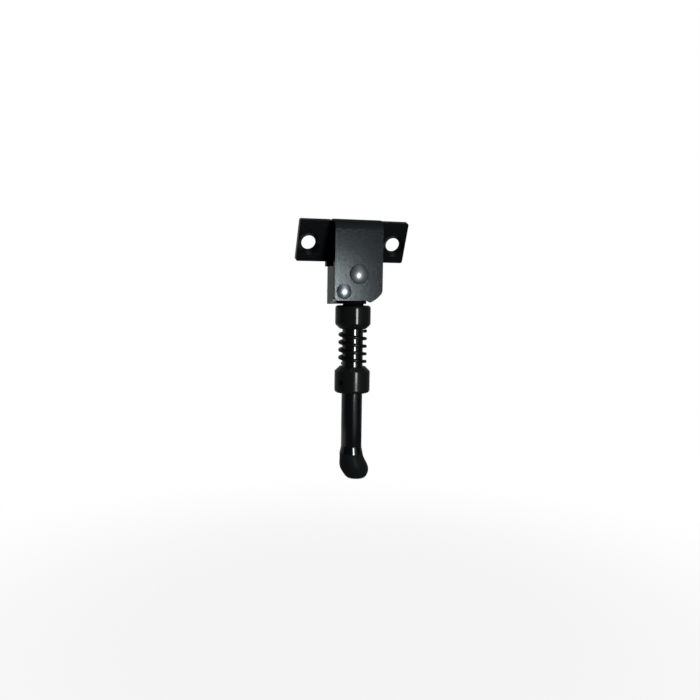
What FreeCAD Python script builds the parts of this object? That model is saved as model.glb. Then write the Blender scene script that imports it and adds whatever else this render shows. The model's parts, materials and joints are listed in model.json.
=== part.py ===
"""Side kickstand for an electric scooter: a folded bracket, a leg on a pivot rivet, and a sprung collar.

Every piece is drawn round the pivot: X to the right along the mounting ears, Y away from the viewer,
Z up along the leg, with the pivot's axis along Y in the middle of the bracket's slot. One shared
placement then moves the origin to the middle of the two mounting holes, on the plate's rear face.
"""
import FreeCAD, Part
import math
import os
import Sketcher

# Driving dimensions in millimetres and degrees: name, value, meaning.
SIZES = [
    ("sheet_thickness", 2.3, "bracket sheet"),
    ("slot_gap", 11.2, "clear gap between the two flanges"),
    ("flange_width", 22.2, "width of the flanges"),
    ("ear_span", 50.8, "length of the mounting plate over both ears"),
    ("ear_height", 19.3, "mounting plate along its slope, knee to upper edge"),
    ("ear_corner", 0.9, "rounding of the ears' corners"),
    ("splay_angle", 24, "angle between the mounting plate and the leg"),
    ("knee_height", 5.6, "knee between plate and rear flange, above the pivot"),
    ("knee_radius", 2.0, "inside radius of the knee"),
    ("bend_radius", 2.4, "inside radius of the bend over the top"),
    ("hole_inset", 5.4, "mounting holes in from the ears' ends"),
    ("hole_diameter", 6.4, "mounting holes"),
    ("hole_height", 8.2, "mounting holes above the knee, along the slope"),
    ("sink_diameter", 10.4, "countersink of the mounting holes"),
    ("sink_angle", 90, "countersink angle"),
    ("front_drop", 11.6, "front flange's lower edge below the pivot"),
    ("rear_drop", 13.4, "rear flange's lower edge below the pivot"),
    ("cam_radius", 13.6, "round lower right corner of the flanges, about the pivot"),
    ("cam_blend", 3.0, "rounding between the cam and the right edge"),
    ("lobe_start", 4.2, "where the front flange's lower edge steps down"),
    ("lobe_tip", 5.6, "where the step meets the cam"),
    ("flange_corner", 2.0, "rounding of the lower left corners"),
    ("wall_top", 3.4, "side wall's upper edge above the pivot"),
    ("wall_gap", 0.3, "gap between the side wall and the front flange"),
    ("pivot_diameter", 5.6, "pivot rivet's shank"),
    ("pivot_head", 8.6, "pivot rivet's head"),
    ("pivot_dome", 1.7, "height of that head"),
    ("stop_diameter", 3.6, "stop rivet's shank"),
    ("stop_head", 6.8, "stop rivet's head"),
    ("stop_dome", 1.9, "height of that head"),
    ("stop_left", 6.9, "stop rivet to the left of the pivot"),
    ("stop_drop", 7.6, "stop rivet below the pivot"),
    ("head_rim", 0.4, "straight rim under the rivets' domes"),
    ("rear_dome", 1.2, "height of the rivets' heads at the back"),
    ("washer_diameter", 10.0, "thrust washers"),
    ("washer_thickness", 1.2, "thrust washers"),
    ("bush_wall", 0.7, "pivot bush"),
    ("eye_diameter", 12.0, "leg's eye"),
    ("neck_length", 12.7, "flat neck below the pivot"),
    ("rod_diameter", 9.4, "round rod"),
    ("spigot_diameter", 6.4, "rod's end inside the boot"),
    ("spigot_length", 8.0, "rod's end inside the boot"),
    ("collar_diameter", 16.0, "both collars"),
    ("upper_length", 10.6, "sliding collar"),
    ("lower_length", 11.9, "fixed collar"),
    ("collar_cone", 2.1, "cone on the spring side of both collars"),
    ("collar_edge", 1.3, "rounding of the collars' plain ends"),
    ("spring_space", 16.9, "between the two collars"),
    ("spring_diameter", 13.0, "spring outside"),
    ("spring_wire", 1.5, "spring wire"),
    ("spring_pitch", 3.45, "spring's rise in one turn"),
    ("spring_turn", 125, "where the wire starts, degrees from the right"),
    ("screw_diameter", 3.0, "grub screw"),
    ("screw_socket", 1.5, "grub screw's hexagon across flats"),
    ("screw_recess", 0.4, "grub screw below the collar's surface"),
    ("screw_turn", 32, "grub screw turned forward from the left, degrees"),
    ("shaft_length", 28.0, "from the fixed collar to the boot"),
    ("flare_length", 3.8, "where the rod widens above the boot"),
    ("flare_rise", 0.65, "how much wider the rod's radius gets there"),
    ("boot_length", 11.5, "boot"),
    ("boot_width", 12.9, "boot at its widest"),
    ("boot_lean", 2.3, "boot's lean to the right"),
    ("boot_sole", 6.4, "boot's sole"),
    ("running_clearance", 0.05, "radial clearance of turning and sliding fits"),
    ("press_clearance", 0.02, "radial clearance of pressed pieces"),
    ("side_play", 0.15, "eye to each thrust washer"),
    ("cam_clearance", 0.3, "sliding collar to the cam"),
    ("stop_clearance", 0.3, "leg's neck to the stop rivet"),
    ("coil_clearance", 0.1, "spring to the collars"),
]

doc = FreeCAD.newDocument("kickstand")
sheet = doc.addObject("Spreadsheet::Sheet", "sizes")
for row, (name, value, meaning) in enumerate(SIZES, start=1):
    sheet.set(f"A{row}", str(value))
    sheet.setAlias(f"A{row}", name)
    sheet.set(f"B{row}", meaning)
doc.recompute()


class Names:
    """Gives each size as the text that an expression uses for it."""

    def __getattr__(self, name):
        return f"sizes.{name}"


d = Names()

TRIAL_RADIUS = 10  # ring from which an outline is solved
ARC_BULGE = 0.15  # first guess of an arc's height, in chords

# Worked-out places, as expressions.
half_gap = f"({d.slot_gap} / 2)"
half_width = f"({d.flange_width} / 2)"
outer_face = f"({half_gap} + {d.sheet_thickness})"
bend_outer = f"({d.bend_radius} + {d.sheet_thickness})"
knee_outer = f"({d.knee_radius} + {d.sheet_thickness})"
slope_sin = f"sin({d.splay_angle})"
slope_cos = f"cos({d.splay_angle})"
bend_y = f"(-{half_gap} + {d.bend_radius})"
bend_rise = f"(({d.slot_gap} * {slope_cos} - {d.bend_radius} * (1 + {slope_cos})) / {slope_sin})"
bend_z = f"({d.knee_height} + {bend_rise})"
knee_y = f"({half_gap} - {d.knee_radius})"
knee_z = f"({d.knee_height} - {d.knee_radius} * tan({d.splay_angle} / 2))"
fold_x = f"(-{half_width} + {bend_outer})"
fold_y = f"({outer_face} - {bend_outer})"
mount_y = f"({half_gap} - {d.hole_height} * {slope_sin} + {d.sheet_thickness} * {slope_cos})"
mount_z = f"({d.knee_height} + {d.hole_height} * {slope_cos} + {d.sheet_thickness} * {slope_sin})"
eye_thickness = f"({d.slot_gap} - 2 * {d.washer_thickness} - 2 * {d.side_play})"
bush_outer = f"({d.pivot_diameter} / 2 + {d.running_clearance} + {d.bush_wall})"
upper_top = f"({d.cam_radius} + {d.cam_clearance})"
upper_bottom = f"({upper_top} + {d.upper_length})"
lower_top = f"({upper_bottom} + {d.spring_space})"
lower_bottom = f"({lower_top} + {d.lower_length})"
boot_top = f"({lower_bottom} + {d.shaft_length})"
cone_radius = f"({d.collar_diameter} / 2 - {d.collar_cone})"
rod_radius = f"({d.rod_diameter} / 2)"
flare_radius = f"({rod_radius} + {d.flare_rise})"
screw_level = f"({lower_top} / 2 + {lower_bottom} / 2 + {d.collar_cone} / 2)"


def size(name):
    """A driving dimension as a number."""
    return float(sheet.get(name))


def place(piece, x="0", y="0", z="0"):
    """Moves a piece from its own pivot-centred frame into the shared frame."""
    piece.setExpression("Placement.Base.x", x)
    piece.setExpression("Placement.Base.y", f"{y} - {mount_y}")
    piece.setExpression("Placement.Base.z", f"{z} - {mount_z}")


def new_body(label, **offset):
    body = doc.addObject("PartDesign::Body", label)
    body.Label = label
    place(body, **offset)
    return body


def new_sketch(body, name, plane, **offset):
    """A sketch on one of the body's own planes, shifted by named expressions."""
    sketch = body.newObject("Sketcher::SketchObject", name)
    support = [f for f in body.Origin.OriginFeatures if f.Role == plane][0]
    sketch.AttachmentSupport = (support, "")
    sketch.MapMode = "FlatFace"
    for axis, expression in offset.items():
        sketch.setExpression(f"AttachmentOffset.Base.{axis}", expression)
    return sketch


def bind(sketch, constraint, expression):
    index = sketch.addConstraint(constraint)
    sketch.setExpression(f"Constraints[{index}]", expression)


def draw(sketch, points, arcs):
    """Draws the closed outline and joins its ends. An arc bulges away from the outline's middle."""
    count = len(points)
    middle = sum(points, FreeCAD.Vector()) / count
    for i, start in enumerate(points):
        end = points[(i + 1) % count]
        if i in arcs:
            chord = (start + end) / 2
            outward = (chord - middle).normalize() * (end - start).Length * ARC_BULGE
            sketch.addGeometry(Part.Arc(start, chord + outward, end), False)
        else:
            sketch.addGeometry(Part.LineSegment(start, end), False)
    for i in range(count):
        sketch.addConstraint(Sketcher.Constraint("Coincident", i, 2, (i + 1) % count, 1))


def bind_corners(sketch, points, corners):
    for i, (across, up) in enumerate(corners):
        bind(sketch, Sketcher.Constraint("DistanceX", i, 1, points[i].x), across)
        bind(sketch, Sketcher.Constraint("DistanceY", i, 1, points[i].y), up)


def polygon(sketch, corners, arcs=None):
    """A closed outline whose corners, counter-clockwise, are pairs of expressions.

    The corners are solved from a plain ring in a trial sketch, and the outline is drawn there.
    arcs gives the radius of each edge that is an arc, by the number of the corner that it leaves.
    """
    arcs = arcs or {}
    turn = 2 * math.pi / len(corners)
    ring_points = [
        FreeCAD.Vector(math.cos(turn * i), math.sin(turn * i), 0) * TRIAL_RADIUS for i in range(len(corners))
    ]
    trial = doc.addObject("Sketcher::SketchObject", "trial")
    draw(trial, ring_points, {})
    bind_corners(trial, ring_points, corners)
    doc.recompute()
    points = [trial.getPoint(i, 1) for i in range(len(corners))]
    doc.removeObject(trial.Name)
    draw(sketch, points, arcs)
    bind_corners(sketch, points, corners)
    for i, radius in arcs.items():
        bind(sketch, Sketcher.Constraint("Radius", i, sketch.Geometry[i].Radius), radius)


def circle(sketch, across, up, radius):
    index = sketch.addGeometry(Part.Circle(FreeCAD.Vector(1, 1, 0), FreeCAD.Vector(0, 0, 1), 1), False)
    bind(sketch, Sketcher.Constraint("DistanceX", index, 3, 1), across)
    bind(sketch, Sketcher.Constraint("DistanceY", index, 3, 1), up)
    bind(sketch, Sketcher.Constraint("Radius", index, 1), radius)


def pad(body, sketch, length, symmetric=False):
    feature = body.newObject("PartDesign::Pad", f"{sketch.Name}_pad")
    feature.Profile = sketch
    feature.SideType = "Symmetric" if symmetric else "One side"
    feature.setExpression("Length", length)
    return feature


def pocket(body, sketch, length, reverse=False):
    doc.recompute()
    before = body.Shape.Volume
    feature = body.newObject("PartDesign::Pocket", f"{sketch.Name}_pocket")
    feature.Profile = sketch
    feature.Reversed = reverse
    feature.setExpression("Length", length)
    doc.recompute()
    if body.Shape.Volume >= before:
        raise RuntimeError(f"{feature.Name} cuts nothing")
    return feature


def revolve(body, sketch, axis, angle="360", reverse=False):
    feature = body.newObject("PartDesign::Revolution", f"{sketch.Name}_turn")
    feature.Profile = sketch
    feature.ReferenceAxis = (sketch, [axis])
    feature.Reversed = reverse
    feature.setExpression("Angle", angle)
    return feature


def round_edges(body, name, radius, wanted):
    """Fillets the edges of the body's last feature whose middle point passes the test."""
    doc.recompute()
    base = body.Tip
    chosen = []
    for number, edge in enumerate(base.Shape.Edges, start=1):
        middle = edge.valueAt((edge.FirstParameter + edge.LastParameter) / 2)
        if wanted(edge, middle):
            chosen.append(f"Edge{number}")
    if not chosen:
        raise RuntimeError(f"{name} finds no edge")
    feature = body.newObject("PartDesign::Fillet", name)
    feature.Base = (base, chosen)
    feature.setExpression("Radius", radius)
    return feature


def along(edge, axis):
    """Whether a straight edge runs along the named axis."""
    if edge.Curve.TypeId != "Part::GeomLine":
        return False
    return abs(getattr(edge.Curve.Direction, axis)) > 0.999


def turned(label, corners, plane="XZ_Plane", axis="V_Axis", arcs=None, **offset):
    """A lathe piece: its half section is given as corners on the named plane."""
    body = new_body(label, **offset)
    sketch = new_sketch(body, f"{label}_section", plane)
    polygon(sketch, corners, arcs)
    revolve(body, sketch, axis)
    return body


def dome_radius(half, rise):
    """The radius of a cap with the given half width and height."""
    return f"(({half})^2 + ({rise})^2) / (2 * ({rise}))"


def rivet(label, shank, head, dome, **offset):
    """A rivet along Y: a domed head in front, a low formed head behind, the shank between them."""
    shank_radius = f"({shank} / 2)"
    head_radius = f"({head} / 2)"
    rear_radius = f"({head_radius} - {d.head_rim})"
    front_rise = f"({dome} - {d.head_rim})"
    rear_rise = f"({d.rear_dome} - {d.head_rim})"
    corners = [
        (f"{outer_face} + {d.rear_dome}", "0"),
        (f"{outer_face} + {d.head_rim}", rear_radius),
        (outer_face, rear_radius),
        (outer_face, shank_radius),
        (f"-{outer_face}", shank_radius),
        (f"-{outer_face}", head_radius),
        (f"-{outer_face} - {d.head_rim}", head_radius),
        (f"-{outer_face} - {dome}", "0"),
    ]
    caps = {0: dome_radius(rear_radius, rear_rise), 6: dome_radius(head_radius, front_rise)}
    return turned(label, corners, "YZ_Plane", "H_Axis", caps, **offset)


def ring(label, inner, outer, start, end):
    """A washer or bush round the pivot."""
    corners = [(start, inner), (end, inner), (end, outer), (start, outer)]
    return turned(label, corners, "YZ_Plane", "H_Axis")


def bend(body, name, across, up, near, far, angle, reverse):
    """A fold of the sheet: its flat section is swung about an axis along X."""
    sketch = new_sketch(body, name, "XY_Plane", y=across, z=up)
    edge = half_width
    polygon(sketch, [(f"-{edge}", near), (edge, near), (edge, far), (f"-{edge}", far)])
    return revolve(body, sketch, "H_Axis", angle, reverse)


def on_cam(offset):
    """The height at which the cam circle stands this far to the right of the pivot."""
    return f"-sqrt({d.cam_radius}^2 - ({offset})^2)"


def cam_plate(body, name, face, top, lower_edge):
    """A flange: straight sides, its own lower edge, and a lower right corner round the pivot."""
    sketch = new_sketch(body, name, "XZ_Plane", z=face)
    corners = [(half_width, top), (f"-{half_width}", top)] + lower_edge + [(half_width, on_cam(half_width))]
    polygon(sketch, corners, {len(corners) - 2: d.cam_radius})
    return pad(body, sketch, d.sheet_thickness)


def mounting_hole(body, name, across):
    """A countersunk hole square to the mounting plate, sunk from the front."""
    sketch = new_sketch(body, name, "XZ_Plane", x=across)
    sketch.AttachmentOffset = FreeCAD.Placement(
        FreeCAD.Vector(), FreeCAD.Rotation(FreeCAD.Vector(1, 0, 0), size("splay_angle"))
    )
    sketch.setExpression("AttachmentOffset.Base.x", across)
    sketch.setExpression("AttachmentOffset.Base.y", f"{d.knee_height} + {d.hole_height} * {slope_cos}")
    sketch.setExpression("AttachmentOffset.Base.z", f"-{half_gap} + {d.hole_height} * {slope_sin}")
    circle(sketch, "0", "0", f"{d.hole_diameter} / 2")
    doc.recompute()
    before = body.Shape.Volume
    hole = body.newObject("PartDesign::Hole", f"{name}_hole")
    hole.Profile = sketch
    hole.DepthType = "ThroughAll"
    hole.HoleCutType = "Countersink"
    hole.HoleCutCustomValues = True
    hole.setExpression("Diameter", d.hole_diameter)
    hole.setExpression("HoleCutDiameter", d.sink_diameter)
    hole.setExpression("HoleCutCountersinkAngle", d.sink_angle)
    doc.recompute()
    if body.Shape.Volume >= before:
        raise RuntimeError(f"{name} cuts nothing")


def make_bracket():
    body = new_body("bracket")
    thick = d.sheet_thickness
    cam_plate(body, "front_flange", half_gap, bend_z, [
        (f"-{half_width}", f"-{d.front_drop}"),
        (d.lobe_start, f"-{d.front_drop}"),
        (d.lobe_tip, on_cam(d.lobe_tip)),
    ])
    bend(body, "top_bend", bend_y, bend_z, f"-{bend_outer}", f"-{d.bend_radius}",
         f"180 - {d.splay_angle}", reverse=True)

    web = new_sketch(body, "web", "YZ_Plane")
    polygon(web, [
        (f"{knee_y} + {d.knee_radius} * {slope_cos}", f"{knee_z} + {d.knee_radius} * {slope_sin}"),
        (f"{knee_y} + {knee_outer} * {slope_cos}", f"{knee_z} + {knee_outer} * {slope_sin}"),
        (f"{bend_y} + {bend_outer} * {slope_cos}", f"{bend_z} + {bend_outer} * {slope_sin}"),
        (f"{bend_y} + {d.bend_radius} * {slope_cos}", f"{bend_z} + {d.bend_radius} * {slope_sin}"),
    ])
    pad(body, web, d.flange_width, symmetric=True)
    bend(body, "knee", knee_y, knee_z, d.knee_radius, knee_outer, d.splay_angle, reverse=False)
    cam_plate(body, "rear_flange", f"-{outer_face}", knee_z, [
        (f"-{half_width}", d.wall_top),
        (fold_x, d.wall_top),
        (fold_x, f"-{d.rear_drop}"),
        (f"sqrt({d.cam_radius}^2 - {d.rear_drop}^2)", f"-{d.rear_drop}"),
    ])

    ear = new_sketch(body, "ear", "YZ_Plane", z=half_width)
    top_y = f"({half_gap} - {d.ear_height} * {slope_sin})"
    top_z = f"({d.knee_height} + {d.ear_height} * {slope_cos})"
    polygon(ear, [
        (half_gap, d.knee_height),
        (f"{half_gap} + {thick} * {slope_cos}", f"{d.knee_height} + {thick} * {slope_sin}"),
        (f"{top_y} + {thick} * {slope_cos}", f"{top_z} + {thick} * {slope_sin}"),
        (top_y, top_z),
    ])
    right_ear = pad(body, ear, f"({d.ear_span} - {d.flange_width}) / 2")
    doc.recompute()
    left_ear = body.newObject("PartDesign::Mirrored", "left_ear")
    left_ear.Originals = [right_ear]
    left_ear.MirrorPlane = ([f for f in body.Origin.OriginFeatures if f.Role == "YZ_Plane"][0], [""])
    body.Tip = left_ear
    doc.recompute()

    make_side_wall(body)
    ear_end = size("ear_span") / 2
    round_edges(body, "ear_corners", d.ear_corner,
                lambda edge, at: abs(abs(at.x) - ear_end) < 0.01 and edge.Length < size("sheet_thickness") * 1.01)
    for side, sign in (("left_mount", "-"), ("right_mount", "")):
        mounting_hole(body, side, f"{sign}({d.ear_span} / 2 - {d.hole_inset})")
    for name, across, up, diameter in (
        ("pivot_bore", "0", "0", d.pivot_diameter),
        ("stop_bore", f"-{d.stop_left}", f"-{d.stop_drop}", d.stop_diameter),
    ):
        sketch = new_sketch(body, name, "XZ_Plane", z=f"{outer_face} + {thick}")
        circle(sketch, across, up, f"{diameter} / 2 + {d.press_clearance}")
        pocket(body, sketch, f"2 * ({outer_face} + {thick})")
    corner_x = -size("flange_width") / 2
    front_y = -size("slot_gap") / 2
    round_edges(body, "front_corner", d.flange_corner,
                lambda edge, at: along(edge, "y") and abs(at.x - corner_x) < 0.01
                and at.y < front_y and at.z < -size("front_drop") / 2)
    round_edges(body, "cam_blends", d.cam_blend,
                lambda edge, at: along(edge, "y") and abs(at.x + corner_x) < 0.01
                and at.z < -size("front_drop") / 3)
    return body


def make_side_wall(body):
    """The wall folded forward from the rear flange's left edge, its foot rising towards the front."""
    thick = d.sheet_thickness
    fold = new_sketch(body, "wall_fold", "YZ_Plane", x=fold_y, z=fold_x)
    polygon(fold, [
        (d.bend_radius, f"-{d.rear_drop}"),
        (bend_outer, f"-{d.rear_drop}"),
        (bend_outer, d.wall_top),
        (d.bend_radius, d.wall_top),
    ])
    revolve(body, fold, "V_Axis", "90")
    side = new_sketch(body, "side_wall", "YZ_Plane", z=f"-{half_width}")
    front = f"(-{half_gap} + {d.wall_gap})"
    polygon(side, [
        (front, f"-{d.front_drop}"),
        (fold_y, f"-{d.rear_drop}"),
        (fold_y, d.wall_top),
        (front, d.wall_top),
    ])
    pad(body, side, thick)


def make_rod():
    """The leg: a flat eye on the pivot, a flat neck, the round rod, its wider end and a spigot for the boot."""
    body = new_body("leg_rod")
    spigot = f"({d.spigot_diameter} / 2)"
    eye_half = f"({eye_thickness} / 2)"
    spigot_end = f"({boot_top} + {d.spigot_length})"
    shoulder = f"({d.neck_length} + {rod_radius} - {eye_half})"
    section = new_sketch(body, "rod_section", "XZ_Plane")
    polygon(section, [
        ("0", f"-{d.neck_length}"),
        ("0", f"-{spigot_end}"),
        (spigot, f"-{spigot_end}"),
        (spigot, f"-{boot_top}"),
        (flare_radius, f"-{boot_top}"),
        (rod_radius, f"-{boot_top} + {d.flare_length}"),
        (rod_radius, f"-{shoulder}"),
        (eye_half, f"-{d.neck_length}"),
    ])
    revolve(body, section, "V_Axis")
    neck = new_sketch(body, "rod_neck", "XZ_Plane")
    side = f"({d.stop_left} - {d.stop_diameter} / 2 - {d.stop_clearance})"
    polygon(neck, [(f"-{side}", f"-{shoulder}"), (side, f"-{shoulder}"), (side, "0"), (f"-{side}", "0")])
    pad(body, neck, eye_thickness, symmetric=True)
    eye = new_sketch(body, "rod_eye", "XZ_Plane")
    circle(eye, "0", "0", f"{d.eye_diameter} / 2")
    pad(body, eye, eye_thickness, symmetric=True)
    bore = new_sketch(body, "eye_bore", "XZ_Plane", z=eye_thickness)
    circle(bore, "0", "0", f"{bush_outer} + {d.press_clearance}")
    pocket(body, bore, f"2 * {eye_thickness}")
    return body


def make_collar(label, plain_end, cone_end, bore):
    """A turned collar: one rounded end, and a cone towards the spring."""
    outer = f"({d.collar_diameter} / 2)"
    towards = "-" if label == "lower_collar" else "+"
    corners = [
        (bore, f"-{plain_end}"),
        (outer, f"-{plain_end}"),
        (outer, f"-{cone_end} {towards} {d.collar_cone}"),
        (cone_radius, f"-{cone_end}"),
        (bore, f"-{cone_end}"),
    ]
    body = turned(label, corners)
    radius = size("collar_diameter") / 2
    level = {"upper_collar": max, "lower_collar": min}[label]

    def plain_edge(edge, at):
        rims = [e for e in body.Tip.Shape.Edges if abs(math.hypot(e.Vertexes[0].X, e.Vertexes[0].Y) - radius) < 0.01]
        limit = level(e.Vertexes[0].Z for e in rims)
        return abs(math.hypot(at.x, at.y) - radius) < 0.01 and abs(at.z - limit) < 0.01

    round_edges(body, f"{label}_edge", d.collar_edge, plain_edge)
    return body


def make_lower_collar():
    body = make_collar("lower_collar", lower_bottom, lower_top, f"({rod_radius} + {d.press_clearance})")
    hole = new_sketch(body, "screw_hole", "YZ_Plane")
    hole.AttachmentOffset = screw_turn_placement()
    circle(hole, "0", f"-{screw_level}", f"{d.screw_diameter} / 2 + {d.press_clearance}")
    pocket(body, hole, d.collar_diameter)
    return body


def screw_turn_placement(outward=0):
    """Turns a sketch on the YZ plane so that its back faces left, a little forward, and moves it that way."""
    turn = FreeCAD.Rotation(FreeCAD.Vector(0, 1, 0), size("screw_turn"))
    return FreeCAD.Placement(turn.multVec(FreeCAD.Vector(0, 0, -outward)), turn)


def make_set_screw():
    """A grub screw that reaches from the collar's surface to the rod, with a hexagon socket."""
    body = new_body("set_screw")
    shank = new_sketch(body, "screw_shank", "YZ_Plane")
    shank.AttachmentOffset = screw_turn_placement()
    circle(shank, "0", f"-{screw_level}", f"{d.screw_diameter} / 2")
    shaft = body.newObject("PartDesign::Pad", "screw_body")
    shaft.Profile = shank
    shaft.Reversed = True
    shaft.setExpression("Length", f"{d.collar_diameter} / 2 - {d.screw_recess}")
    doc.recompute()
    seat = new_sketch(body, "screw_seat", "XY_Plane", z=f"-{lower_bottom}")
    circle(seat, "0", "0", f"{rod_radius} + {d.press_clearance}")
    pocket(body, seat, f"{d.lower_length}", reverse=True)
    socket = new_sketch(body, "screw_socket", "YZ_Plane")
    socket.AttachmentOffset = screw_turn_placement(size("rod_diameter") / 2 + size("screw_socket"))
    corner = f"({d.screw_socket} / sqrt(3))"
    polygon(socket, [
        (f"{corner} * cos({60 * i})", f"{corner} * sin({60 * i}) - {screw_level}") for i in range(6)
    ])
    pocket(body, socket, f"{d.collar_diameter} / 2")
    return body


def make_spring():
    """The coil between the collars, left-handed: one wire, swept turn by turn along its helix."""
    wire = size("spring_wire")
    mean = size("spring_diameter") / 2 - wire / 2
    rise = size("spring_space") - wire - 2 * size("coil_clearance")
    helix = Part.makeLongHelix(size("spring_pitch"), rise, mean, 0, True)
    section = Part.Wire(Part.makeCircle(wire / 2, FreeCAD.Vector(mean, 0, 0), FreeCAD.Vector(0, 1, 0)))
    coil = Part.Wire(helix).makePipeShell([section], True, True)
    piece = doc.addObject("Part::Feature", "spring")
    piece.Label = "spring"
    piece.Shape = coil
    piece.Placement.Rotation = FreeCAD.Rotation(FreeCAD.Vector(0, 0, 1), size("spring_turn"))
    place(piece, z=f"-({lower_top} - {d.coil_clearance} - {d.spring_wire} / 2)")
    return piece


def make_boot():
    """The cap on the rod's end: flush with the rod at its lip, wider below, leaning right, with a small sole."""
    body = new_body("foot_boot")
    widest = f"({d.boot_width} / 2)"
    sections = (
        ("lip", "0", flare_radius, "0"),
        ("calf", "0.17", f"{widest} * 0.87", "0.19"),
        ("belly", "0.48", f"{widest} * 0.985", "0.43"),
        ("heel", "0.68", widest, "0.58"),
        ("tread", "0.86", f"{widest} * 0.935", "0.72"),
        ("edge", "1", f"{widest} * 0.79", "0.88"),
        ("sole", "1.06", f"{d.boot_sole} / 2", "1"),
    )
    sketches = []
    for name, lean, radius, depth in sections:
        level = f"-({boot_top} + {d.boot_length} * {depth})"
        sketch = new_sketch(body, f"boot_{name}", "XY_Plane", z=level)
        circle(sketch, f"{d.boot_lean} * {lean}", "0", radius)
        sketches.append(sketch)
    loft = body.newObject("PartDesign::AdditiveLoft", "boot_form")
    loft.Profile = sketches[0]
    loft.Sections = sketches[1:]
    socket = new_sketch(body, "boot_socket", "XY_Plane", z=f"-{boot_top}")
    circle(socket, "0", "0", f"{d.spigot_diameter} / 2 + {d.press_clearance}")
    pocket(body, socket, f"{d.spigot_length} + {d.press_clearance}")
    return body


pieces = [
    make_bracket(),
    rivet("pivot_rivet", d.pivot_diameter, d.pivot_head, d.pivot_dome),
    rivet("stop_rivet", d.stop_diameter, d.stop_head, d.stop_dome, x=f"-{d.stop_left}", z=f"-{d.stop_drop}"),
    ring("washer_front", f"{d.pivot_diameter} / 2 + {d.running_clearance}", f"{d.washer_diameter} / 2",
         f"-{half_gap}", f"-{half_gap} + {d.washer_thickness}"),
    ring("washer_rear", f"{d.pivot_diameter} / 2 + {d.running_clearance}", f"{d.washer_diameter} / 2",
         f"{half_gap} - {d.washer_thickness}", half_gap),
    ring("pivot_bush", f"{d.pivot_diameter} / 2 + {d.running_clearance}", bush_outer,
         f"-{eye_thickness} / 2", f"{eye_thickness} / 2"),
    make_rod(),
    make_collar("upper_collar", upper_top, upper_bottom, f"({rod_radius} + {d.running_clearance})"),
    make_spring(),
    make_lower_collar(),
    make_set_screw(),
    make_boot(),
]

doc.recompute()
for item in doc.Objects:
    if "Invalid" in item.State or "Error" in item.State:
        raise RuntimeError(f"{item.Label} failed: {item.State}")
for piece in pieces:
    if piece.Shape.isNull() or not piece.Shape.isValid():
        raise RuntimeError(f"{piece.Label} has no valid shape")

os.makedirs("parts", exist_ok=True)
for piece in pieces:
    piece.Shape.exportStep(f"parts/{piece.Label}.step")
    print(piece.Label, len(piece.Shape.Solids), round(piece.Shape.Volume, 1))
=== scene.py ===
"""Looks of the scooter kickstand: its painted pieces, plated rivet, spring, studio and camera."""
import json
import math

import bmesh
import bpy
from mathutils import Matrix, Vector


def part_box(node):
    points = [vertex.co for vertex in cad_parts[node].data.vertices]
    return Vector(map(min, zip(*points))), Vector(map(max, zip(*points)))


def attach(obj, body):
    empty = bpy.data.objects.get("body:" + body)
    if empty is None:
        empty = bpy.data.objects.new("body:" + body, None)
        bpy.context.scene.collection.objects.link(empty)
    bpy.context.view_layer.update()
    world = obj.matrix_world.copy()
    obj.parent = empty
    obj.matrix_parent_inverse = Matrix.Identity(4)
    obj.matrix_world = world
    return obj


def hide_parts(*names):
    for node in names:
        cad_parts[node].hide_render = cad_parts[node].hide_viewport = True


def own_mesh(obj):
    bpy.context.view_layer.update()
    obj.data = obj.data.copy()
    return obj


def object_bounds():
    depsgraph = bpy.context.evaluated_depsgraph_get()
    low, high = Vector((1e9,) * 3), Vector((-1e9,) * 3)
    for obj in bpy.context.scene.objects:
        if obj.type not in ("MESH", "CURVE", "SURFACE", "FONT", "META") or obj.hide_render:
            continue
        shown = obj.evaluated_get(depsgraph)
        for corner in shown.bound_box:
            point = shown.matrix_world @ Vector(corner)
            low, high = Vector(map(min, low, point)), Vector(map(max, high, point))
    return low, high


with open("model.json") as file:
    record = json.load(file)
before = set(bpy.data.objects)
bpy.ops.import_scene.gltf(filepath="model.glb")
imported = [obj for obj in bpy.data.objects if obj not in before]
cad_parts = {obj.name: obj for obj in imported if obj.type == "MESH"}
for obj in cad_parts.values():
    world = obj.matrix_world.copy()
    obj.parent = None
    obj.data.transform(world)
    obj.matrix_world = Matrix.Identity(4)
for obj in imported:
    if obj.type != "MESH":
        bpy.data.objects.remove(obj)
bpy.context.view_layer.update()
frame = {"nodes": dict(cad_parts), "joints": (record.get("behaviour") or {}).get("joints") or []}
nodes = frame["nodes"]
joints = {joint["name"]: joint for joint in frame["joints"]}
pivot = Vector(joints["leg_fold"]["pos_m"])
scene = bpy.context.scene
MM = 0.001

# Differences below this, in metres, don't count.
NEAR = 1e-6

# The spring: its wire, the rise of a turn, and where the wire starts, in degrees round the rod.
WIRE = 1.5 * MM
PITCH = 3.45 * MM
SPRING_START = 125
STEPS_A_TURN = 72
WIRE_SIDES = 18

# Edge rounding of each dressed solid, in millimetres, and the domed ones, whose shading isn't weighted
# towards flat faces.
ROUNDING = {
    "bracket": 0.5, "pivot_rivet": 0.3, "stop_rivet": 0.15, "leg_rod": 0.05,
    "upper_collar": 0.7, "lower_collar": 0.7, "foot_boot": 0.05,
}
ROUND_PIECES = ("pivot_rivet", "stop_rivet", "foot_boot")

# Faces within the first angle of each other are joined, and edges sharper than the second are rounded.
FLAT_DEGREES = 0.5
ROUND_DEGREES = 28
ROUND_STEPS = 4

# The rod's widening above the boot: its rings, the share of its height that curves into the shaft, and the
# least and greatest angle between shaft and widening where it starts.
FLARE_RINGS = 12
FLARE_EASE = 0.4
FLARE_DEGREES = (4, 20)

# The photograph's view, as the camera's place from the pivot in millimetres and its turn in degrees.
CAMERA_SPOT = (-115.336, -344.294, -3.577)
CAMERA_TURN = (18.345, -4.804, 0.804)
FOCAL_PIXELS = 805.393
FRAME_PIXELS = 700
SENSOR_WIDTH = 36
CLIP_START = 0.01

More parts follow.
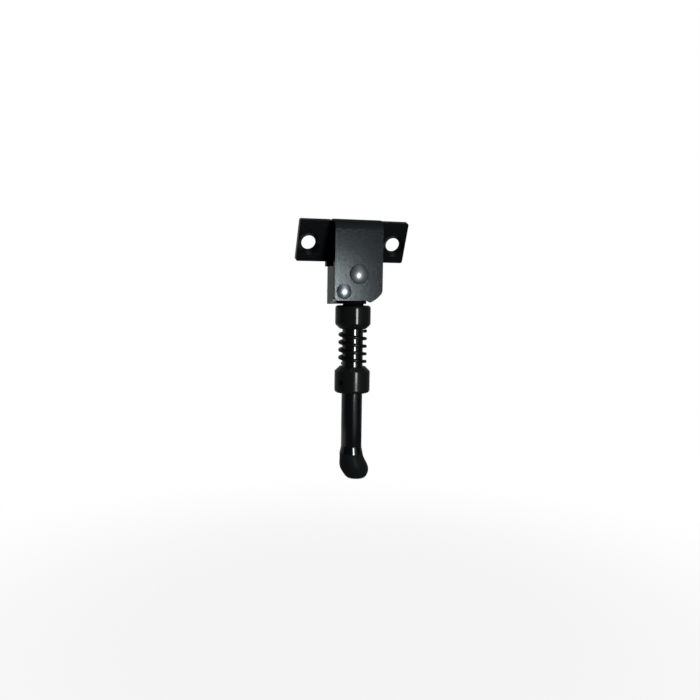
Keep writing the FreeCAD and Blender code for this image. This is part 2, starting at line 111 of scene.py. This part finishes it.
# The key light stands to the right of the camera and a little below the pivot.
KEY_TURN = 27
KEY_DISTANCE = 0.22
KEY_DROP = 0.036
KEY_AIM_DROP = 0.03
KEY_WIDTH = 0.045
KEY_HEIGHT = 0.085
KEY_POWER = 0.096
KEY_SPREAD = 80
KEY_COLOUR = (0.97, 1, 1)

# Soft glows all round: behind, overhead and on the far side. Each has its direction, its strength away from
# there and in the middle, and the cosines between which it grows.
BEHIND = (-0.5, 0.866, 0)
GLOWS = (
    (BEHIND, 0.03, 0.33, 0.45, 0.95),
    ((0.2, 0.55, 0.81), 0.0, 0.1, 0.35, 0.95),
    ((0.8, 0.6, 0), 0.0, 0.16, 0.75, 1.0),
)
MIRRORED_GLOW = (BEHIND, 0.0, 0.4, 0.35, 1.1)

# The strip of light in front: its turn in degrees, its strength, how far it reaches to the sides, and where
# it fades out towards the back.
STRIP_TURN = 19
STRIP_GLOW = 0.68
STRIP_REACH = 0.6
STRIP_BACK = -0.4

# The floor: its place, its own grey, the white laid over it for the camera near the part and far from it,
# the distances between which that grows, and the white that gloss shows of it behind the part.
FLOOR_BELOW = 0.07
FLOOR_RADIUS = 0.5
FLOOR_SIDES = 96
FLOOR_GREY = (0.2, 0.2, 0.2, 1)
FLOOR_WHITE = (0.9, 1.0, 0.08, 0.3)
FLOOR_MIRRORED = (0.0, 0.6, 0.0, 0.4)

# The cool shine of the powder coat, and the lengths over which the rod's gloss changes.
COOL_SHINE = (0.84, 0.96, 1, 1)
SHAFT_FADE = 4 * MM
NECK_FADE = 2 * MM


def shaded(name, bm, crease_degrees=38, flat_faces=True):
    """Makes an object of a finished bmesh, smooth except over real edges, with flat faces kept flat."""
    mesh = bpy.data.meshes.new(name)
    bm.to_mesh(mesh)
    bm.free()
    stored = mesh.attributes.get("custom_normal")
    if stored:
        mesh.attributes.remove(stored)
    for face in mesh.polygons:
        face.use_smooth = True
    mesh.set_sharp_from_angle(angle=math.radians(crease_degrees))
    piece = bpy.data.objects.new(name, mesh)
    scene.collection.objects.link(piece)
    if flat_faces:
        even = piece.modifiers.new("even_normals", "WEIGHTED_NORMAL")
        even.keep_sharp = True
    return piece


def eased(share):
    """Rises from 0 to 1: curved over the first part of the way, straight after it."""
    if share < FLARE_EASE:
        rise = share ** 2 / (2 * FLARE_EASE)
    else:
        rise = share - FLARE_EASE / 2
    return rise / (1 - FLARE_EASE / 2)


def off_axis(corner):
    """How far a corner lies from the rod's middle line."""
    return (corner.co.xy - pivot.xy).length


def opens_flare(edge, ceiling):
    """Whether an edge is on the level ring, below the ceiling, where the rod starts to widen."""
    first, second = (corner.co.z for corner in edge.verts)
    if abs(first - second) > NEAR or max(first, second) > ceiling:
        return False
    least, most = (math.radians(degrees) for degrees in FLARE_DEGREES)
    return least < edge.calc_face_angle(0) < most


def blend_flare(bm):
    """Makes the rod's widening above the boot of even rings that curve into the shaft."""
    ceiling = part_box("lower_collar")[0].z
    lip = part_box("foot_boot")[1].z
    ring = [edge for edge in bm.edges if opens_flare(edge, ceiling)]
    top = ring[0].verts[0].co.z
    narrow = off_axis(ring[0].verts[0])
    wide = max(off_axis(corner) for corner in bm.verts if abs(corner.co.z - lip) < NEAR)
    band = [face for face in bm.faces
            if all(lip - NEAR < corner.co.z < top + NEAR for corner in face.verts)]
    bmesh.ops.delete(bm, geom=band, context="FACES")
    spigot = [edge for edge in bm.edges if edge.is_boundary and edge.verts[0].co.z < lip + NEAR]
    for step in range(1, FLARE_RINGS + 1):
        share = step / FLARE_RINGS
        radius = narrow + (wide - narrow) * eased(share)
        grown = bmesh.ops.extrude_edge_only(bm, edges=ring)["geom"]
        corners = {part for part in grown if isinstance(part, bmesh.types.BMVert)}
        ring = [part for part in grown
                if isinstance(part, bmesh.types.BMEdge) and corners.issuperset(part.verts)]
        for corner in corners:
            flat = pivot.xy + (corner.co.xy - pivot.xy).normalized() * radius
            corner.co = (flat.x, flat.y, top + (lip - top) * share)
    bmesh.ops.bridge_loops(bm, edges=ring + spigot)


def softened(node):
    """A copy of a solid with its edges rounded; the rounded faces are marked for edge wear, painted edge
    highlights and a painted shade rim.
    """
    bm = bmesh.new()
    bm.from_mesh(nodes[node].data)
    bmesh.ops.remove_doubles(bm, verts=bm.verts, dist=NEAR)
    bmesh.ops.dissolve_limit(bm, angle_limit=math.radians(FLAT_DEGREES), verts=bm.verts, edges=bm.edges)
    if node == "leg_rod":
        blend_flare(bm)
    least = math.radians(ROUND_DEGREES)
    edges = [edge for edge in bm.edges if edge.calc_face_angle(0) > least]
    rounded = bmesh.ops.bevel(
        bm, geom=edges, offset=ROUNDING[node] * MM, offset_type="OFFSET", segments=ROUND_STEPS,
        profile=0.5, affect="EDGES", material=-1, clamp_overlap=True,
    )
    bmesh.ops.recalc_face_normals(bm, faces=bm.faces)
    rounded_mark = bm.loops.layers.float.new("edge")
    for face in rounded["faces"]:
        for corner in face.loops:
            corner[rounded_mark] = 1.0
    return shaded(f"{node}_finished", bm, flat_faces=node not in ROUND_PIECES)


def coiled_spring():
    """The wire between the collars, wound left-handed by a rising spin."""
    low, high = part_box("spring")
    middle = (low + high) / 2
    mean_radius = (high.x - low.x) / 2 - WIRE / 2
    rise = high.z - low.z - WIRE
    turns = rise / PITCH
    steps = round(turns * STEPS_A_TURN)
    bm = bmesh.new()
    section = bmesh.ops.create_circle(bm, cap_ends=True, segments=WIRE_SIDES, radius=WIRE / 2)["verts"]
    upright = Matrix.Rotation(math.pi / 2, 4, "X")
    outward = Matrix.Translation((mean_radius, 0, 0))
    start = Matrix.Rotation(math.radians(SPRING_START), 4, "Z")
    foot = Matrix.Translation((middle.x, middle.y, low.z + WIRE / 2))
    bmesh.ops.transform(bm, verts=section, matrix=foot @ start @ outward @ upright)
    bmesh.ops.spin(
        bm, geom=bm.verts[:] + bm.edges[:] + bm.faces[:], cent=(middle.x, middle.y, 0),
        axis=(0, 0, 1), dvec=(0, 0, rise / steps), angle=-turns * 2 * math.pi, steps=steps,
    )
    bmesh.ops.remove_doubles(bm, verts=bm.verts, dist=NEAR)
    bmesh.ops.recalc_face_normals(bm, faces=bm.faces)
    return shaded("spring_coil", bm, crease_degrees=60, flat_faces=False)


class Nodes:
    """Short calls for the shader nodes that the finishes, the surround and the floor use."""

    def __init__(self, tree, coordinates):
        self.tree = tree
        self.place = tree.nodes.new("ShaderNodeTexCoord").outputs[coordinates]

    def add(self, kind, inputs, output, **settings):
        """A node with some sockets linked and some set, by name or number; gives one of its outputs."""
        node = self.tree.nodes.new(kind)
        for name, value in settings.items():
            setattr(node, name, value)
        for socket, value in inputs.items():
            if isinstance(value, bpy.types.NodeSocket):
                self.tree.links.new(value, node.inputs[socket])
            else:
                node.inputs[socket].default_value = value
        return node.outputs[output]

    def noise(self, scale, detail=2.0, roughness=0.5):
        sockets = {"Vector": self.place, "Scale": scale, "Detail": detail, "Roughness": roughness}
        return self.add("ShaderNodeTexNoise", sockets, "Fac")

    def spread(self, value, low, high, start=0.3, end=0.7, interpolation="SMOOTHSTEP"):
        """Carries a value from the range start to end over to low to high."""
        sockets = {"Value": value, "From Min": start, "From Max": end, "To Min": low, "To Max": high}
        return self.add("ShaderNodeMapRange", sockets, "Result", interpolation_type=interpolation)

    def sums(self, operation, first, second):
        return self.add("ShaderNodeMath", {0: first, 1: second}, "Value", operation=operation)

    def along(self, direction):
        """How far the place reaches in a direction."""
        sockets = {0: self.place, 1: direction}
        return self.add("ShaderNodeVectorMath", sockets, "Value", operation="DOT_PRODUCT")


class Finish(Nodes):
    """A material in the making."""

    def __init__(self, name):
        self.material = bpy.data.materials.new(name)
        self.material.use_nodes = True
        super().__init__(self.material.node_tree, "Object")
        self.shader = self.tree.nodes["Principled BSDF"]

    def set(self, **values):
        for socket, value in values.items():
            self.shader.inputs[socket].default_value = value

    def feed(self, socket, value):
        self.tree.links.new(value, self.shader.inputs[socket])

    def rounded_edge_mask(self):
        return self.add("ShaderNodeAttribute", {}, "Fac", attribute_name="edge")

    def colour(self, value, dark, light):
        """Base colour that goes from the first to the second colour with a value."""
        sockets = {"Fac": value, "Color1": (*dark, 1), "Color2": (*light, 1)}
        self.feed("Base Color", self.add("ShaderNodeMixRGB", sockets, "Color"))

    def bump(self, height, strength, distance):
        sockets = {"Height": height, "Strength": strength, "Distance": distance}
        self.feed("Normal", self.add("ShaderNodeBump", sockets, "Normal"))


def textured_coat():
    """Black powder coat on the bracket: satin with a fine grain, paler along the rounded edges as rubbed
    wear and painted edge highlights.
    """
    finish = Finish("textured_coat")
    finish.set(**{"Specular Tint": COOL_SHINE, "Specular IOR Level": 0.25})
    grain = finish.noise(1150, detail=3, roughness=0.6)
    cloud = finish.noise(160)
    # Paler along the rounded edges: rubbed wear and painted edge highlights.
    wear_and_edge_highlight = finish.sums("MULTIPLY", finish.rounded_edge_mask(), finish.spread(cloud, 0.3, 1.0))
    finish.colour(wear_and_edge_highlight, (0.0028, 0.0033, 0.0038), (0.16, 0.165, 0.155))
    finish.feed("Roughness", finish.spread(grain, 0.15, 0.24))
    finish.bump(grain, strength=0.32, distance=0.12 * MM)
    return finish.material


def rivet_coat():
    """Black coat on the pivot rivet: paler on the dome as painted sheen, with a clear layer there, and
    darker on its plain rim as painted contact shade.
    """
    finish = Finish("rivet_coat")
    finish.set(**{"Specular Tint": COOL_SHINE, "Specular IOR Level": 0.9})
    finish.set(**{"Coat Roughness": 0.28, "Coat IOR": 2.0})
    grain = finish.noise(1500, detail=3, roughness=0.6)
    # The rim is painted darker as contact shade under the head, and the dome paler as painted sheen.
    painted_shade_rim = finish.rounded_edge_mask()
    finish.colour(painted_shade_rim, (0.02, 0.022, 0.023), (0.003, 0.0034, 0.004))
    finish.feed("Coat Weight", finish.spread(painted_shade_rim, 1.0, 0.0, start=0.0, end=1.0))
    finish.feed("Roughness", finish.spread(grain, 0.5, 0.6))
    finish.bump(grain, strength=0.2, distance=0.1 * MM)
    return finish.material


def gloss_coat():
    """Smooth black paint on the collars, with a faint flow in it, a little duller on the lower one."""
    finish = Finish("gloss_coat")
    finish.set(**{"Specular IOR Level": 0.15})
    flow = finish.noise(220)
    finish.colour(flow, (0.0043, 0.0056, 0.0045), (0.006, 0.0073, 0.0062))
    height = finish.along((0, 0, 1))
    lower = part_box("lower_collar")[1].z
    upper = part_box("upper_collar")[0].z
    dulled = finish.spread(height, 1.9, 1.0, lower, upper)
    finish.feed("Roughness", finish.sums("MULTIPLY", finish.spread(flow, 0.08, 0.11), dulled))
    finish.bump(flow, strength=0.05, distance=0.1 * MM)
    return finish.material


def rod_coat():
    """Black paint on the rod: glossy on the shaft, a little duller under the spring, dull and without shine
    on the neck as painted shade under the bracket.
    """
    finish = Finish("rod_coat")
    flow = finish.noise(260)
    height = finish.along((0, 0, 1))
    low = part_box("lower_collar")[0].z
    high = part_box("upper_collar")[1].z
    above_shaft = finish.spread(height, 0.8, 1.0, low - SHAFT_FADE, low + SHAFT_FADE)
    below_neck = finish.spread(height, 1.0, 3.0, high - NECK_FADE, high)
    scuff = finish.sums("MULTIPLY", above_shaft, below_neck)
    # No shine on the neck: painted shade where it sits under the bracket.
    finish.feed("Specular IOR Level", finish.spread(height, 0.5, 0.0, high - NECK_FADE, high))
    finish.colour(flow, (0.0018, 0.0021, 0.003), (0.0028, 0.0032, 0.0042))
    finish.feed("Roughness", finish.sums("MULTIPLY", finish.spread(flow, 0.11, 0.14), scuff))
    finish.bump(flow, strength=0.05, distance=0.1 * MM)
    return finish.material


def black_steel():
    """Oiled black oxide on the spring wire and the grub screw."""
    finish = Finish("black_steel")
    finish.set(**{"Specular IOR Level": 0.15})
    streak = finish.noise(900, detail=3)
    finish.colour(streak, (0.002, 0.002, 0.002), (0.005, 0.0048, 0.0046))
    finish.feed("Roughness", finish.spread(streak, 0.2, 0.28))
    return finish.material


def zinc_plate():
    """Bright zinc on the stop rivet, bluish, with faint press marks."""
    finish = Finish("zinc_plate")
    finish.set(Metallic=1.0)
    haze = finish.noise(700, detail=3)
    finish.colour(haze, (0.44, 0.52, 0.64), (0.62, 0.69, 0.78))
    finish.feed("Roughness", finish.spread(haze, 0.32, 0.42))
    finish.bump(haze, strength=0.1, distance=0.15 * MM)
    return finish.material


def boot_skin():
    """Moulded black rubber with a slight sheen."""
    finish = Finish("boot_skin")
    finish.set(**{"Specular IOR Level": 0.02, "Sheen Weight": 0.04})
    skin = finish.noise(500, detail=3)
    finish.colour(skin, (0.005, 0.007, 0.0075), (0.0085, 0.011, 0.0115))
    finish.feed("Roughness", finish.spread(skin, 0.32, 0.42))
    finish.bump(skin, strength=0.1, distance=0.1 * MM)
    return finish.material


def slide_plastic():
    """Plain pale plastic of the thrust washers."""
    finish = Finish("slide_plastic")
    haze = finish.noise(600)
    finish.colour(haze, (0.74, 0.73, 0.68), (0.82, 0.81, 0.77))
    finish.feed("Roughness", finish.spread(haze, 0.45, 0.6))
    return finish.material


def sintered_bronze():
    """Porous bronze of the pivot bush."""
    finish = Finish("sintered_bronze")
    finish.set(Metallic=1.0)
    pores = finish.noise(2600)
    finish.colour(pores, (0.36, 0.24, 0.11), (0.58, 0.42, 0.22))
    finish.feed("Roughness", finish.spread(pores, 0.35, 0.5))
    return finish.material


def put_on(piece, material):
    piece.data.materials.clear()
    piece.data.materials.append(material)


def dress(piece, node, body, material):
    """Puts a finished piece in the place of its solid."""
    put_on(piece, material)
    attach(piece, body)
    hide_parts(node)


def dress_all():
    """Gives every piece its finish; the washers, bush and grub screw keep their own solids."""
    coat = textured_coat()
    gloss = gloss_coat()
    steel = black_steel()
    plastic = slide_plastic()
    for node, body, slot, material in (
        ("bracket", "mount", "bracket_coat", coat),
        ("pivot_rivet", "mount", "bracket_coat", rivet_coat()),
        ("stop_rivet", "mount", "zinc", zinc_plate()),
        ("leg_rod", "leg", "leg_coat", rod_coat()),
        ("upper_collar", "collar", "leg_coat", gloss),
        ("lower_collar", "leg", "leg_coat", gloss),
        ("foot_boot", "leg", "boot_rubber", boot_skin()),
    ):
        dress(softened(node), node, body, material)
    spring = coiled_spring()
    dress(spring, "spring", "leg", steel)
    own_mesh(spring)
    for node, material in (("washer_front", plastic), ("washer_rear", plastic),
                           ("pivot_bush", sintered_bronze()), ("set_screw", steel)):
        put_on(nodes[node], material)


def place_camera():
    """The photograph's view: a little to the left of the front, looking slightly down."""
    azimuth, elevation, roll = (math.radians(value) for value in CAMERA_TURN)
    spot = pivot + Vector(CAMERA_SPOT) * MM
    ahead = Vector((math.sin(azimuth) * math.cos(elevation), math.cos(azimuth) * math.cos(elevation),
                    math.sin(elevation)))
    level = ahead.cross(Vector((0, 0, 1))).normalized()
    upright = level.cross(ahead)
    right = level * math.cos(roll) + upright * math.sin(roll)
    up = upright * math.cos(roll) - level * math.sin(roll)
    lens = bpy.data.cameras.new("camera")
    lens.sensor_width = SENSOR_WIDTH
    lens.lens = FOCAL_PIXELS * SENSOR_WIDTH / FRAME_PIXELS
    lens.clip_start = CLIP_START
    camera = bpy.data.objects.new("camera", lens)
    camera.matrix_world = Matrix.Translation(spot) @ Matrix((right, up, -ahead)).transposed().to_4x4()
    scene.collection.objects.link(camera)
    scene.camera = camera


def light_key():
    """One small soft key light to the right of the camera."""
    towards = Vector((CAMERA_SPOT[0], CAMERA_SPOT[1], 0)).normalized()
    way = Matrix.Rotation(math.radians(KEY_TURN), 3, "Z") @ towards
    spot = pivot + way * KEY_DISTANCE - Vector((0, 0, KEY_DROP))
    target = pivot - Vector((0, 0, KEY_AIM_DROP))
    lamp = bpy.data.lights.new("key", "AREA")
    lamp.shape = "RECTANGLE"
    lamp.size = KEY_WIDTH
    lamp.size_y = KEY_HEIGHT
    lamp.energy = KEY_POWER
    lamp.spread = math.radians(KEY_SPREAD)
    lamp.color = KEY_COLOUR
    holder = bpy.data.objects.new("key", lamp)
    turn = (target - spot).to_track_quat("-Z", "Y")
    holder.matrix_world = Matrix.Translation(spot) @ turn.to_matrix().to_4x4()
    scene.collection.objects.link(holder)


def mirrored_rays(stage, path):
    """Rays that come from gloss or glass, which show the white behind the part too."""
    return stage.sums("MAXIMUM", path.outputs["Is Glossy Ray"], path.outputs["Is Transmission Ray"])


def glow(stage, direction, *levels):
    """Light that grows towards the middle of one direction."""
    return stage.spread(stage.along(direction), *levels)


def front_strip(stage):
    """A dim upright strip of light in front, round the key, that fades to the sides and overhead."""
    turn = math.radians(STRIP_TURN)
    aside = stage.sums("ABSOLUTE", stage.along((math.cos(turn), math.sin(turn), 0)), 0)
    ahead = stage.along((math.sin(turn), -math.cos(turn), 0))
    narrow = stage.spread(aside, STRIP_GLOW, 0.0, 0.0, STRIP_REACH)
    return stage.sums("MULTIPLY", narrow, stage.spread(ahead, 0.0, 1.0, STRIP_BACK, 1.0, "LINEAR"))


def white_surround():
    """White to the camera; to the part, soft glows all round and one strip in front."""
    world = bpy.data.worlds.new("surround")
    scene.world = world
    world.use_nodes = True
    stage = Nodes(world.node_tree, "Generated")
    path = world.node_tree.nodes.new("ShaderNodeLightPath")
    strength = front_strip(stage)
    for spot in GLOWS:
        strength = stage.sums("ADD", strength, glow(stage, *spot))
    white = stage.sums("MULTIPLY", glow(stage, *MIRRORED_GLOW), mirrored_rays(stage, path))
    white = stage.sums("MAXIMUM", white, path.outputs["Is Camera Ray"])
    background = world.node_tree.nodes["Background"]
    background.inputs["Color"].default_value = (1, 1, 1, 1)
    world.node_tree.links.new(stage.sums("MAXIMUM", strength, white), background.inputs["Strength"])


def floor_paper():
    """Grey paper with white laid over it, for the camera and for gloss that shows what is behind."""
    finish = Finish("floor_paper")
    finish.set(**{"Roughness": 0.9, "Base Color": FLOOR_GREY})
    path = finish.tree.nodes.new("ShaderNodeLightPath")
    flat = finish.add("ShaderNodeVectorMath", {0: finish.place, 1: (1, 1, 0)}, "Vector",
                      operation="MULTIPLY")
    reach = finish.add("ShaderNodeVectorMath", {0: flat}, "Value", operation="LENGTH")
    seen = finish.spread(reach, *FLOOR_WHITE)
    seen = finish.sums("MULTIPLY", seen, path.outputs["Is Camera Ray"])
    mirrored = glow(finish, BEHIND, *FLOOR_MIRRORED)
    mirrored = finish.sums("MULTIPLY", mirrored, mirrored_rays(finish, path))
    white = finish.add("ShaderNodeEmission", {}, "Emission")
    share = finish.sums("MAXIMUM", seen, mirrored)
    sockets = {"Fac": share, 1: finish.shader.outputs["BSDF"], 2: white}
    paper = finish.add("ShaderNodeMixShader", sockets, "Shader")
    finish.tree.links.new(paper, finish.tree.nodes["Material Output"].inputs["Surface"])
    return finish.material


def pale_floor():
    """A round pale floor below the foot, white to the camera but for the soft shadow on it."""
    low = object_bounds()[0][2]
    bm = bmesh.new()
    bmesh.ops.create_circle(bm, cap_ends=True, segments=FLOOR_SIDES, radius=FLOOR_RADIUS)
    bmesh.ops.translate(bm, verts=bm.verts, vec=(0, 0, low - FLOOR_BELOW))
    mesh = bpy.data.meshes.new("floor")
    bm.to_mesh(mesh)
    bm.free()
    floor = bpy.data.objects.new("floor", mesh)
    scene.collection.objects.link(floor)
    put_on(floor, floor_paper())


dress_all()
place_camera()
light_key()
white_surround()
pale_floor()
scene.view_settings.view_transform = "Standard"
